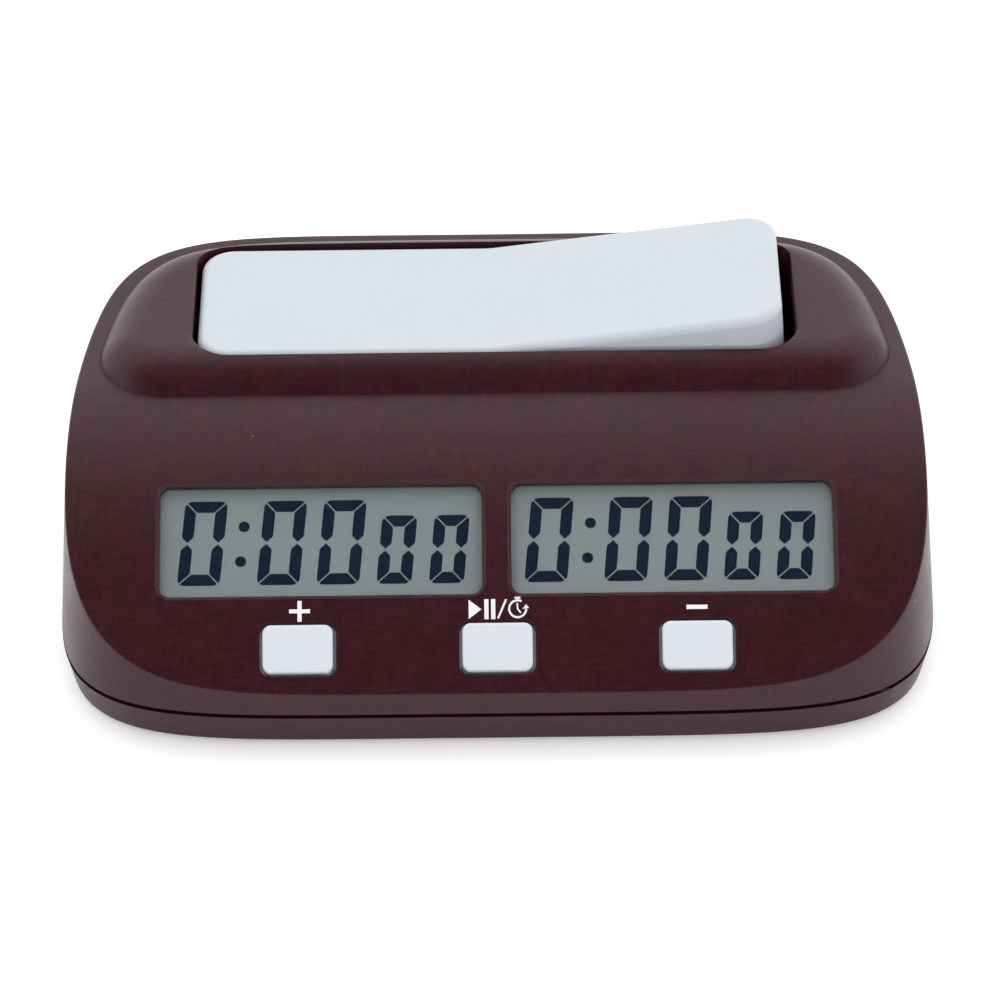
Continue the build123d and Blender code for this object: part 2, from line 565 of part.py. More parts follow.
def lower_case():
    """Moulded base: tapering tray with the battery bay, screw posts and sounder ring."""
    tray = loft([outline(BASE_INSET, BASE_Z), outline(0, SEAM_LOW)])
    tray = fillet(tray.edges().group_by(Axis.Z)[0], BASE_EDGE)
    rim = extrude(outline(SEAM_DEPTH, SEAM_LOW - 1), amount=SEAM_HIGH - SEAM_LOW + 1)
    lip = extrude(outline(WALL + LIP_GAP, SEAM_LOW - 1), amount=LIP_TOP_Z - SEAM_LOW + 1)
    tray = tray + [rim, lip] - extrude(outline(BASE_WALL, FLOOR_Z), amount=LIP_TOP_Z)

    outer_x, outer_y = BAY_HALF_X + BAY_WALL, BAY_HALF_Y + BAY_WALL
    bay_heights = (BASE_Z + 0.5, BAY_ROOF_Z + BAY_WALL)
    extras = [block((-outer_x, outer_x), (BAY_Y - outer_y, BAY_Y + outer_y), bay_heights)]
    extras += [disc(POST_RADIUS, BASE_Z + 0.5, POST_TOP_Z, x, y) for x, y in CASE_SCREW_PLACES]
    extras.append(disc(SOUNDER_RADIUS + 1.3, FLOOR_Z - 0.5, SOUNDER_Z + 1.5, SOUNDER_X, SOUNDER_Y))
    cuts = bay_cuts() + sound_holes()
    for x, y in CASE_SCREW_PLACES:
        cuts.append(disc(SCREW_HEAD_RADIUS + 0.3, 0, SCREW_SEAT_Z, x, y))
        cuts.append(disc(SCREW_RADIUS + 0.3, 0, POST_TOP_Z + 1, x, y))
    cuts += [disc(FOOT_RADIUS + 0.1, 0, FOOT_HEIGHT, x, y) for x, y in FOOT_PLACES]
    cuts.append(disc(SOUNDER_RADIUS + 0.1, SOUNDER_Z, SOUNDER_Z + 2, SOUNDER_X, SOUNDER_Y))
    cuts.append(disc(SOUNDER_RADIUS - 1, FLOOR_Z, SOUNDER_Z + 2, SOUNDER_X, SOUNDER_Y))
    cuts.append(plate(11, 6, 2, 0, BASE_Z + 0.6, POWER_X + POWER_TRAVEL / 2, POWER_Y))
    slot = (POWER_X - 1.5, POWER_X + 1.5 + POWER_TRAVEL)
    cuts.append(block(slot, (POWER_Y - 1.5, POWER_Y + 1.5), (0, FLOOR_Z + 1)))
    return tray + extras - cuts + bay_ribs()


def battery_door():
    """Flush cover of the battery bay, with two hook tabs, a thumb latch and grip grooves."""
    x, y = DOOR_HALF_X, DOOR_HALF_Y
    inner = BASE_Z + DOOR_THICKNESS
    door = plate(2 * x, 2 * y, 0.8, BASE_Z, inner, y=BAY_Y)
    hinge_y = BAY_Y - y
    for side in (-1, 1):
        span = (side * TAB_X - TAB_WIDTH / 2, side * TAB_X + TAB_WIDTH / 2)
        door += block(span, (hinge_y, hinge_y + 1.5), (inner - 0.5, inner + 1.6))
        door += block(span, (hinge_y - 1.8, hinge_y + 1.5), (inner + 0.4, inner + 1.6))
    door += block((-5, 5), (BAY_Y + y - 1.3, BAY_Y + y - 0.1), (inner - 0.5, inner + 2.4))
    for i in range(5):
        groove = BAY_Y + y - 2.2 - 1.3 * i
        door -= block((-7 + i, 7 - i), (groove - 0.3, groove + 0.3), (0, BASE_Z + 0.4))
    return door


def foot(x, y):
    """Rubber foot in its recess."""
    return fillet(disc(FOOT_RADIUS, 0, FOOT_HEIGHT, x, y).edges().group_by(Axis.Z)[0], 0.4)


# ================================================================ battery, sounder, power switch
def battery():
    """Single AA cell lying along X, with its positive nub to the right."""
    half = BATTERY_LENGTH / 2
    can = rod_along_x(BATTERY_RADIUS, -half, half, BAY_Y, BATTERY_Z)
    can = fillet(can.edges().filter_by(GeomType.CIRCLE), 0.6)
    return can + rod_along_x(2.7, half - 0.5, half + 1.3, BAY_Y, BATTERY_Z)


def positive_contact():
    """Flat contact plate with a soldering tail through the bay's wall."""
    x = BATTERY_LENGTH / 2 + 1.35
    plate_part = block((x, x + SHEET), (BAY_Y - 5.5, BAY_Y + 5.5), (BATTERY_Z - 5, TAIL_Z + SHEET))
    return plate_part + block((x, BAY_HALF_X + 3), (BAY_Y - 1.5, BAY_Y + 1.5), (TAIL_Z, TAIL_Z + SHEET))


def negative_spring():
    """Conical coil spring with a straight tail, pressing on the flat end of the cell."""
    wire, start = 0.35, -BATTERY_LENGTH / 2 - 0.45
    path = Helix(pitch=1.05, height=3.15, radius=4.6, cone_angle=-18)
    coil = sweep(Plane(origin=path @ 0, z_dir=path % 0) * Circle(wire), path=path)
    return Pos(start - 3.4, BAY_Y, BATTERY_Z) * Rot(0, 90, 0) * coil


def negative_contact():
    """Flat plate behind the coil spring, with a soldering tail through the bay's wall."""
    x = -BATTERY_LENGTH / 2 - 4.6
    plate_part = block((x, x + SHEET), (BAY_Y - 5.5, BAY_Y + 5.5), (BATTERY_Z - 5, TAIL_Z + SHEET))
    return plate_part + block((-BAY_HALF_X - 3, x), (BAY_Y - 1.5, BAY_Y + 1.5), (TAIL_Z, TAIL_Z + SHEET))


def power_switch_body():
    """Slide switch body on the floor, with the slot that its knob runs in and three terminals."""
    middle = POWER_X + POWER_TRAVEL / 2
    body = block((middle - 6, middle + 6), (POWER_Y - 3, POWER_Y + 3), (FLOOR_Z, FLOOR_Z + 4.5))
    body -= block((POWER_X - 1.5, POWER_X + 1.5 + POWER_TRAVEL), (POWER_Y - 1.5, POWER_Y + 1.5),
                  (0, FLOOR_Z + 1.9))
    for x in (-3.0, 0.0, 3.0):
        left = middle + x - 0.3
        body += block((left, left + 0.6), (POWER_Y - 0.8, POWER_Y + 0.8), (FLOOR_Z + 4, FLOOR_Z + 7))
    return body


def power_knob():
    """Sliding knob of the power switch, ribbed on its lower face."""
    knob = block((POWER_X - 1.2, POWER_X + 1.2), (POWER_Y - 1.25, POWER_Y + 1.25), (0.5, FLOOR_Z + 1.6))
    for x in (-0.6, 0.0, 0.6):
        knob -= block((POWER_X + x - 0.12, POWER_X + x + 0.12), (POWER_Y - 2, POWER_Y + 2), (0, 0.75))
    return knob


# ================================================================ leads
board_edge = display * Pos(0, BOARD_HIGH_V - 2, BOARD_TOP_W - BOARD_THICKNESS)
solder = board_edge.position        # soldering row near the upper edge of the main board
wire_low = LEAD_DIAMETER / 2


def board_joint(x):
    """Place on the soldering row where a lead ends, just under the board."""
    return (x, solder.Y + 0.4, solder.Z - wire_low - 0.2)


switch_top = FLOOR_Z + 7
tail_end = BAY_HALF_X + 3
tail_under = TAIL_Z - wire_low


def leads():
    """Every wire inside the case, by name."""
    middle = POWER_X + POWER_TRAVEL / 2
    found = {}
    found["positive_lead"] = lead(
        (tail_end - 1, BAY_Y, tail_under), (38, BAY_Y - 1, tail_under - 1),
        (44, BAY_Y - 1.5, 12), (middle - 3.9, POWER_Y, switch_top - 1))
    found["power_lead"] = lead(
        (middle + 0.9, POWER_Y, switch_top - 1), (54, POWER_Y - 5, 14), (48, -2, 20), board_joint(38))
    found["negative_lead"] = lead(
        (-tail_end + 1, BAY_Y, tail_under), (-38, BAY_Y - 2, tail_under - 1), (-37, 2, 22), board_joint(-30))
    sounder = []
    for side in (0, 1):
        start = (SOUNDER_X + 4 * side, SOUNDER_Y + 3, SOUNDER_Z + 1.2)
        sounder.append(lead(start, (SOUNDER_X + 3 + 3 * side, SOUNDER_Y + 8, 12),
                            (SOUNDER_X + 5 + 3 * side, SOUNDER_Y + 3, 21), board_joint(-39 + 3 * side)))
    found["sounder_leads"] = Compound(sounder)
    low = TACT_TOP_Z - TACT_HEIGHT - BOARD_THICKNESS - wire_low
    front = ROCKER_Y - 7
    rocker_leads = [lead((x, front + 3, low), (x, front - 4, low - 1), (x + 1, front - 12, low),
                         board_joint(x))
                    for x in (-3.0, 0.0, 3.0)]
    found["rocker_switch_leads"] = Compound(rocker_leads)
    return found


# ================================================================ assembly
def build_parts():
    """Every node of the clock, by name."""
    parts = {"upper_case": upper_case(), "lower_case": lower_case()}
    parts["rocker"] = rocker()
    parts["rocker_pivot_pin"] = pivot_pin()
    parts["rocker_switch_board"] = switch_board()
    tact_foot = TACT_TOP_Z - TACT_HEIGHT
    sides = {"left": -plunger_x, "right": plunger_x}
    parts["rocker_switch_bodies"] = Compound(
        [Pos(x, ROCKER_Y, tact_foot) * tact_body(TACT_HEIGHT) for x in sides.values()])
    for side, x in sides.items():
        top = PLUNGER_TOP_Z + (RELEASE if side == "right" else 0)
        parts[side + "_rocker_plunger"] = Pos(x, ROCKER_Y, 0) * stem(top - 4.6, top)
    small = (SMALL_SCREW_RADIUS, SMALL_SCREW_LENGTH, SMALL_HEAD_RADIUS, SMALL_HEAD_HEIGHT)
    seat = tact_foot - BOARD_THICKNESS
    parts["switch_board_screws"] = Compound(
        [Pos(x, ROCKER_Y, seat) * screw(*small[:1], 4.0, *small[2:]) for x in SWITCH_BOARD_SCREWS])

    for side, u in windows.items():
        lens = plate(LCD_WIDTH, LCD_HEIGHT, 1.0, PAD_W - LENS_THICKNESS, PAD_W, x=u)
        parts[side + "_window_lens"] = display * lens
        parts[side + "_lcd"] = lcd(u)
        parts[side + "_zebra_strip"] = zebra_strip(u)
    parts["lcd_holder"] = lcd_holder()
    parts["main_board"] = main_board()
    parts["board_screws"] = Compound(
        [display * Pos(u, v, BOARD_TOP_W - BOARD_THICKNESS) * screw(*small) for u, v in BOARD_SCREWS])
    parts["controller_blob"] = rear_part(controller(), 0, 0)
    parts["clock_crystal"] = rear_part(rod_along_x(1.05, -3, 3, z=1.1), 14, 4)
    parts["capacitors"] = rear_part(chips([(-14, 3), (-14, -3), (20, -4)], (3.2, 1.6, 1.5)), 0, 0)
    parts["resistors"] = rear_part(chips([(-22 + 3 * i, 7) for i in range(5)], (1.6, 0.8, 0.5)), 0, 0)

    for name, u in key_columns.items():
        parts[name + "_button"] = key_cap(u)
        stem_part = stem(BOARD_TOP_W + 0.4 + KEY_TRAVEL + 0.2, key_foot_w - 0.05)
        parts[name + "_switch_stem"] = display * Pos(u, KEY_V, 0) * stem_part
    parts["key_switch_bodies"] = Compound(
        [display * Pos(u, KEY_V, BOARD_TOP_W) * tact_body(key_tact_height) for u in key_columns.values()])

    parts["battery_cell"] = battery()
    parts["battery_positive_contact"] = positive_contact()
    parts["battery_negative_contact"] = negative_contact()
    parts["battery_spring"] = negative_spring()
    parts["battery_door"] = battery_door()
    parts["sounder_plate"] = disc(SOUNDER_RADIUS, SOUNDER_Z, SOUNDER_Z + 0.3, SOUNDER_X, SOUNDER_Y)
    parts["sounder_ceramic"] = disc(9, SOUNDER_Z + 0.3, SOUNDER_Z + 0.55, SOUNDER_X, SOUNDER_Y)
    parts["power_switch_body"] = power_switch_body()
    parts["power_switch_knob"] = power_knob()
    parts["case_screws"] = Compound(
        [Pos(x, y, SCREW_SEAT_Z) * screw(SCREW_RADIUS, SCREW_LENGTH, SCREW_HEAD_RADIUS, SCREW_HEAD_HEIGHT)
         for x, y in CASE_SCREW_PLACES])
    for corner, (x, y) in zip(("front_left", "front_right", "rear_left", "rear_right"), FOOT_PLACES):
        parts[corner + "_foot"] = foot(x, y)
    parts.update(leads())
    return parts


os.makedirs("parts", exist_ok=True)
for name, shape in build_parts().items():
    export_step(shape, f"parts/{name}.step")
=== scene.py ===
import json
from math import atan2, cos, degrees, pi, radians, sin, sqrt, tan

import bmesh
import bpy
from mathutils import Matrix, Vector
from mathutils.bvhtree import BVHTree

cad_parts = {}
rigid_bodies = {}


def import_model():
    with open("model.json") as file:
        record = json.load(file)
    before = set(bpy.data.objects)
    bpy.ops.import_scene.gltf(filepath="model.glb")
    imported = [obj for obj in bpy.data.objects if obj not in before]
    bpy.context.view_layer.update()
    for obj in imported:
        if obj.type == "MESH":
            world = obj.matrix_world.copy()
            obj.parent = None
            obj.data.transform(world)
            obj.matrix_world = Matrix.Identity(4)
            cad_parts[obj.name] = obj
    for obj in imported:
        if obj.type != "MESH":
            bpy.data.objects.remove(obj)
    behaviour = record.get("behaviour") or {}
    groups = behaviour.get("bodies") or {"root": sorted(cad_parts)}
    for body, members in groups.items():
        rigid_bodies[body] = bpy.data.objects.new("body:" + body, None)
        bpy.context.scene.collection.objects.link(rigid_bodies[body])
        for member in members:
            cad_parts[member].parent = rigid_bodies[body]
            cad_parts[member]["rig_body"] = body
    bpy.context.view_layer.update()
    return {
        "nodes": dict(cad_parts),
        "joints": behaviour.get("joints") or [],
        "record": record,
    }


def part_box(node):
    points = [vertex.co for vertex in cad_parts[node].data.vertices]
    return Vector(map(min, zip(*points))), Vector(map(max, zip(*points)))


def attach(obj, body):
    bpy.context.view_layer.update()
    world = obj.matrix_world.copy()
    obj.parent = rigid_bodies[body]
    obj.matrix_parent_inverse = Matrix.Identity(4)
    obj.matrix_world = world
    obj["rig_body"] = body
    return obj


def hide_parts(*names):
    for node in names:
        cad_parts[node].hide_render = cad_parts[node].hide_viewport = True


# Chess clock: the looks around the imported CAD. Everything is in metres, in the frame of the CAD:
# X along the width, Y from the front to the back, Z up, the feet on Z = 0.

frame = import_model()
MM = 0.001

# ---------------------------------------------------------------- the display plane
# u runs along the width, v up the slope and w out of the face, all measured from the frame's origin.
keys = ("plus", "play_pause", "minus")
sides = ("left", "right")
press = next(joint for joint in frame["joints"] if joint["name"] == "plus_press")
ACROSS = Vector((1, 0, 0))
OUT = -Vector(press["axis"])
UP = OUT.cross(ACROSS)


def span(node, axis):
    """Lowest and highest place of a CAD node along an axis."""
    places = [axis.dot(vertex.co) for vertex in frame["nodes"][node].data.vertices]
    return min(places), max(places)


def middle(node, axis):
    """Middle of a CAD node along an axis."""
    return sum(span(node, axis)) / 2


def display_point(u, v, w):
    """Place in the frame of a point given from the display plane."""
    return ACROSS * u + UP * v + OUT * w


# ---------------------------------------------------------------- case measures
rocker_low, rocker_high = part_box("rocker")
HALF_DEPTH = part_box("lower_case")[1].y
HALF_WIDTH = 78.5 * MM              # at the middle of the depth
FRONT_POWER, BACK_POWER = 5.9, 6.5  # of the superellipse that is the outline
TAPER, BULGE = 0.045, 0.08          # narrowing towards the back, and towards both ends
DRAFT, SIDE_DRAFT = 0.035, 0.075    # lean of the front and back walls, and of the sides
SEAM_LOW, SEAM_HIGH = 7.1 * MM, 7.9 * MM
FRONT_EDGE = 12.1 * MM              # height of the face at its front edge
FACE_TOP = 42 * MM
FACE_RUN = 54 * MM                  # depth over which the face rises
CREASE = 0.7 * MM
WALL = 2 * MM
SHOULDER = 4.5 * MM                 # from the case's outline in to the pod's
POD_FRONT = -2.3 * MM
POD_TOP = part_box("upper_case")[1].z
POD_CORNER = 13 * MM
POD_EDGE = 9 * MM
POD_FOOT = 36 * MM
SLEEVE_TOP = 45.6 * MM
WELL_GAP = 0.8 * MM
WELL_WALL = 1.6 * MM
WELL_FLOOR = 30.6 * MM
WELL_EASE = 0.35 * MM               # rounding of the well's rim
ROCKER_REACH = 54 * MM
ROCKER_CORNER = 6 * MM
ROCKER_Y = (rocker_low.y + rocker_high.y) / 2
ROCKER_WIDTH = rocker_high.y - rocker_low.y
PLUNGER_HOLE = 4.4 * MM
WINDOW_WIDTH, WINDOW_HEIGHT = 57.1 * MM, 20.7 * MM
WINDOW_CORNER = 2 * MM
WINDOW_CHAMFER = 0.7 * MM
SEAT_MARGIN = 3 * MM                # the lens seat's size beyond the lenses
SEAT_THICKNESS = 1.3 * MM
KEY_WIDTH, KEY_HEIGHT = 13.5 * MM, 9.2 * MM     # of the key holes
KEY_CORNER = 1.85 * MM
KEY_BEVEL = 0.25 * MM
KEY_V = middle("plus_switch_stem", UP)
MERGE, SLIVER = 1e-6, 1e-7          # distances at which points and thin faces are merged
BEYOND = 0.3 * MM                   # how far bevel cutters run past the surface that they open
CUTTER_RISE = 12 * MM               # how far cutters stand over the lenses
CUTTER_DEPTH = 2 * MM               # and how far they reach below them
CENTRE = Vector((0, ROCKER_Y, 0))

# ---------------------------------------------------------------- fineness of the cover's mesh
AROUND = 320                        # points around the case
WALL_ROWS, CREASE_ROWS, FACE_ROWS = 10, 6, 40
POD_SIDE, POD_TURN, POD_STRAIGHT = 90, 24, 30   # steps along half of the pod's outline
POD_WALL_ROWS, POD_EDGE_ROWS, POD_TOP_ROWS = 5, 12, 12
FACE_TRIES, EDGE_TRIES, HALVINGS = 8, 12, 40    # repeats that close in on a point
ALMOST_ALL = 0.999999               # keeps the last goal within the measured length


def face_height(y):
    """Height of the sloping face at a depth."""
    run = min((y + HALF_DEPTH) / FACE_RUN, 1)
    return FRONT_EDGE + (FACE_TOP - FRONT_EDGE) * (2 * run - run * run)


def face_slope(y):
    """Rise of the sloping face for each step back, at a depth."""
    run = min((y + HALF_DEPTH) / FACE_RUN, 1)
    return (FACE_TOP - FRONT_EDGE) * 2 * (1 - run) / FACE_RUN


def on_face(u, v, drop=0.0):
    """Place along OUT where the line through (u, v) meets the sloping face, lowered by a drop."""
    w = span("left_window_lens", OUT)[1]
    for _ in range(FACE_TRIES):
        point = display_point(u, v, w)
        w -= (point.z - face_height(point.y)) / (OUT.z - face_slope(point.y) * OUT.y)
    return w - drop


def outline_point(angle, inset, side_lean=0.0):
    """Point of the case outline, a superellipse narrower at its ends, pulled in by the inset."""
    across, along = cos(angle), sin(angle)
    power = BACK_POWER if along > 0 else FRONT_POWER
    reach = (abs(across) ** power + abs(along) ** power) ** (-1 / power)
    share = reach * along
    narrow = 1 - TAPER * share - BULGE * share * share
    half_width = HALF_WIDTH - inset - side_lean
    return Vector((half_width * reach * across * narrow, (HALF_DEPTH - inset) * share, 0))


def leaning_point(angle, inset, height):
    """Point of the case's leaning wall at a height."""
    rise = height - SEAM_LOW
    point = outline_point(angle, inset + DRAFT * rise, (SIDE_DRAFT - DRAFT) * rise)
    point.z = height
    return point


def outline_normal(angle, inset):
    """Outward normal of the outline."""
    step = 0.002
    along = outline_point(angle + step, inset) - outline_point(angle - step, inset)
    return Vector((along.y, -along.x, 0)).normalized()


def evenly(start, end, inset, count, fine):
    """Angles from start to end at which the outline's points are evenly spaced."""
    angles = [start + (end - start) * i / fine for i in range(fine + 1)]
    points = [outline_point(angle, inset) for angle in angles]
    lengths = [0.0]
    for before, after in zip(points, points[1:]):
        lengths.append(lengths[-1] + (after - before).length)
    found, at = [], 0
    for i in range(count + 1):
        goal = min(lengths[-1] * i / count, lengths[-1] * ALMOST_ALL)
        while lengths[at + 1] < goal:
            at += 1
        share = (goal - lengths[at]) / (lengths[at + 1] - lengths[at])
        found.append(angles[at] + (angles[at + 1] - angles[at]) * share)
    return found


# ---------------------------------------------------------------- mesh helpers
def new_piece(name, mesh, body="case", smooth=30):
    """An object from a bmesh, shaded smooth up to an angle, riding on a body."""
    bmesh.ops.recalc_face_normals(mesh, faces=mesh.faces)
    data = bpy.data.meshes.new(name)
    mesh.to_mesh(data)
    mesh.free()
    data.shade_smooth()
    data.set_sharp_from_angle(angle=radians(smooth))
    piece = bpy.data.objects.new(name, data)
    bpy.context.scene.collection.objects.link(piece)
    if body:
        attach(piece, body)
    return piece


def add_rings(mesh, rings, tip=None):
    """Closed surface through rings of points; the last ring closes in a tip or a cap."""
    made = [[mesh.verts.new(point) for point in ring] for ring in rings]
    count = len(rings[0])
    for lower, upper in zip(made, made[1:]):
        for i in range(count):
            j = (i + 1) % count
            mesh.faces.new((lower[i], lower[j], upper[j], upper[i]))
    mesh.faces.new(reversed(made[0]))
    if tip is None:
        mesh.faces.new(made[-1])
    else:
        end = mesh.verts.new(tip)
        for i in range(count):
            mesh.faces.new((made[-1][i], made[-1][(i + 1) % count], end))


def combine(piece, other, operation):
    """Joins or cuts a piece with another, which goes away."""
    modifier = piece.modifiers.new(operation, "BOOLEAN")
    modifier.operation = operation
    modifier.solver = "MANIFOLD"
    modifier.object = other
    graph = bpy.context.evaluated_depsgraph_get()
    data = bpy.data.meshes.new_from_object(piece.evaluated_get(graph))
    piece.modifiers.clear()
    piece.data = data
    bpy.data.objects.remove(other)


def rounded(width, height, corner):
    """Anticlockwise rounded rectangle about the origin."""
    along, around = 14, 8           # steps along a side and around a corner
    arcs = []
    for quarter, (x, y) in enumerate(((1, 1), (-1, 1), (-1, -1), (1, -1))):
        centre = Vector((x * (width / 2 - corner), y * (height / 2 - corner)))
        angles = [pi / 2 * (quarter + i / around) for i in range(around + 1)]
        arcs.append([centre + corner * Vector((cos(a), sin(a))) for a in angles])
    points = []
    for arc, following in zip(arcs, arcs[1:] + arcs[:1]):
        points += arc
        points += [arc[-1].lerp(following[0], i / along) for i in range(1, along)]
    return points


# ---------------------------------------------------------------- upper case
def case_body(inset, drop, low):
    """The case without its pod: leaning walls, eased crease and sloping face."""
    columns = []
    for angle in evenly(0, 2 * pi, 0, AROUND, fine=4000)[:-1]:
        top = FACE_TOP
        for _ in range(EDGE_TRIES):
            edge = leaning_point(angle, inset, top)
            top = face_height(edge.y) - drop
        foot = leaning_point(angle, inset, low)
        rise = (edge - foot).normalized()
        inward = (CENTRE - edge) * Vector((1, 1, 0))
        ahead = edge + inward.normalized() * MM
        ahead.z = face_height(ahead.y) - drop
        fall = (ahead - edge).normalized()
        cut = CREASE * tan(rise.angle(fall) / 2)
        start, end = edge - rise * cut, edge + fall * cut
        column = [foot.lerp(start, i / WALL_ROWS) for i in range(WALL_ROWS)]
        for i in range(CREASE_ROWS):
            t = i / CREASE_ROWS
            column.append(start * (1 - t) ** 2 + edge * 2 * t * (1 - t) + end * t * t)
        for i in range(FACE_ROWS):
            point = end.lerp(CENTRE, i / FACE_ROWS)
            point.z = face_height(point.y) - drop
            column.append(point)
        columns.append(column)
    mesh = bmesh.new()
    tip = CENTRE + Vector((0, 0, face_height(ROCKER_Y) - drop))
    add_rings(mesh, list(zip(*columns)), tip)
    return mesh


def pod_outline(inset):
    """Half of the pod's outline, from the back to the front middle, as points and normals."""
    corner = POD_CORNER - inset
    front = POD_FRONT + inset
    outline_inset = SHOULDER + inset
    low, high = -pi / 4, pi / 4
    for _ in range(HALVINGS):
        angle = (low + high) / 2
        normal = outline_normal(angle, outline_inset)
        centre = outline_point(angle, outline_inset) - normal * corner
        if centre.y < front + corner:
            low = angle
        else:
            high = angle
    half = []
    for side_angle in evenly(pi / 2, angle, outline_inset, POD_SIDE, fine=2000):
        half.append((outline_point(side_angle, outline_inset), outline_normal(side_angle, outline_inset)))
    turn = atan2(normal.y, normal.x)
    for i in range(1, POD_TURN + 1):
        now = turn + (-pi / 2 - turn) * i / POD_TURN
        direction = Vector((cos(now), sin(now), 0))
        half.append((centre + direction * corner, direction))
    for i in range(1, POD_STRAIGHT + 1):
        half.append((Vector((centre.x * (1 - i / POD_STRAIGHT), front, 0)), Vector((0, -1, 0))))
    return half


def pod_body(inset, edge, low):
    """The raised pod, rounded over at its top edge."""
    half = pod_outline(inset)
    mirrored = [(Vector((-p.x, p.y, 0)), Vector((-n.x, n.y, 0))) for p, n in half[1:-1]]
    loop = half + mirrored[::-1]
    top = POD_TOP - inset
    rings = []
    for i in range(POD_WALL_ROWS):
        rise = Vector((0, 0, low + (top - edge - low) * i / POD_WALL_ROWS))
        rings.append([p + rise for p, n in loop])
    for i in range(POD_EDGE_ROWS + 1):
        turn = pi / 2 * i / POD_EDGE_ROWS
        rise = Vector((0, 0, top - edge + edge * sin(turn)))
        rings.append([p - n * edge * (1 - cos(turn)) + rise for p, n in loop])
    rim = rings[-1]
    centre = CENTRE + Vector((0, 0, top))
    for i in range(1, POD_TOP_ROWS):
        rings.append([point.lerp(centre, i / POD_TOP_ROWS) for point in rim])
    mesh = bmesh.new()
    add_rings(mesh, rings, tip=centre)
    return mesh


def upright(mesh, width, depth, corner, levels, x=0.0, y=0.0):
    """Upright rounded block whose outline grows with each level, given as (height, growth)."""
    rings = []
    for height, grow in levels:
        outline = rounded(width + 2 * grow, depth + 2 * grow, corner + grow)
        rings.append([Vector((x + p.x, y + p.y, height)) for p in outline])
    add_rings(mesh, rings)


def face_cutter(mesh, width, height, corner, bevel, u, v):
    """Cutter square to the display plane, with a bevel of even width along the sloping face."""
    lens_low, lens_top = span("left_window_lens", OUT)
    below, above = lens_low - CUTTER_DEPTH, lens_top + CUTTER_RISE
    rings = []
    wide = bevel + BEYOND
    for grow, drop in ((0, None), (0, bevel), (wide, -BEYOND), (wide, None)):
        ring = []
        for point in rounded(width + 2 * grow, height + 2 * grow, corner + grow):
            at_u, at_v = u + point.x, v + point.y
            if drop is None:
                at_w = above if rings else below
            else:
                at_w = on_face(at_u, at_v, drop)
            ring.append(display_point(at_u, at_v, at_w))
        rings.append(ring)
    add_rings(mesh, rings)


def make_upper_case():
    """Moulded cover with its pod, rocker well, window openings and key holes."""
    piece = new_piece("cover_shell", case_body(0, 0, SEAM_HIGH))
    combine(piece, new_piece("pod", pod_body(0, POD_EDGE, POD_FOOT), None), "UNION")
    combine(piece, new_piece("hollow", case_body(WALL, WALL, SEAM_HIGH - MM), None), "DIFFERENCE")
    pod_hollow = pod_body(WALL, POD_EDGE - WALL, POD_FOOT - MM)
    combine(piece, new_piece("pod_hollow", pod_hollow, None), "DIFFERENCE")

    well = (2 * (ROCKER_REACH + WELL_GAP), ROCKER_WIDTH + 2 * WELL_GAP, ROCKER_CORNER + WELL_GAP)
    mesh = bmesh.new()
    upright(mesh, *well, [(WELL_FLOOR - WELL_WALL, WELL_WALL), (SLEEVE_TOP, WELL_WALL)], y=ROCKER_Y)
    combine(piece, new_piece("sleeve", mesh, None), "UNION")
    seat_low = span("left_window_lens", OUT)[1]
    seat_width = span("right_window_lens", ACROSS)[1] * 2 + SEAT_MARGIN
    lens_foot, lens_head = span("left_window_lens", UP)
    window_v = middle("left_window_lens", UP)
    mesh = bmesh.new()
    ring = rounded(seat_width, lens_head - lens_foot + SEAT_MARGIN, MM)
    add_rings(mesh, [[display_point(p.x, window_v + p.y, w) for p in ring]
                     for w in (seat_low, seat_low + SEAT_THICKNESS)])
    combine(piece, new_piece("lens_seat", mesh, None), "UNION")

    mesh = bmesh.new()
    levels = [(WELL_FLOOR, 0), (POD_TOP - WELL_EASE, 0), (POD_TOP - WELL_EASE * 0.3, WELL_EASE * 0.3),
              (POD_TOP, WELL_EASE), (POD_TOP + MM, WELL_EASE * 3)]
    upright(mesh, *well, levels, y=ROCKER_Y)
    for side in sides:
        face_cutter(mesh, WINDOW_WIDTH, WINDOW_HEIGHT, WINDOW_CORNER, WINDOW_CHAMFER,
                    middle(side + "_window_lens", ACROSS), window_v)
    for key in keys:
        face_cutter(mesh, KEY_WIDTH, KEY_HEIGHT, KEY_CORNER, KEY_BEVEL,
                    middle(key + "_button", ACROSS), KEY_V)
    combine(piece, new_piece("openings", mesh, None), "DIFFERENCE")

    mesh = bmesh.new()
    almost_round = PLUNGER_HOLE / 2 - 1e-6
    levels = [(WELL_FLOOR - 3 * MM, 0), (WELL_FLOOR + MM, 0)]
    for side in sides:
        plunger_x = middle(side + "_rocker_plunger", ACROSS)
        upright(mesh, PLUNGER_HOLE, PLUNGER_HOLE, almost_round, levels, plunger_x, ROCKER_Y)
    combine(piece, new_piece("plunger_holes", mesh, None), "DIFFERENCE")
    piece.data.shade_smooth()
    piece.data.set_sharp_from_angle(angle=radians(28))
    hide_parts("upper_case")
    return piece


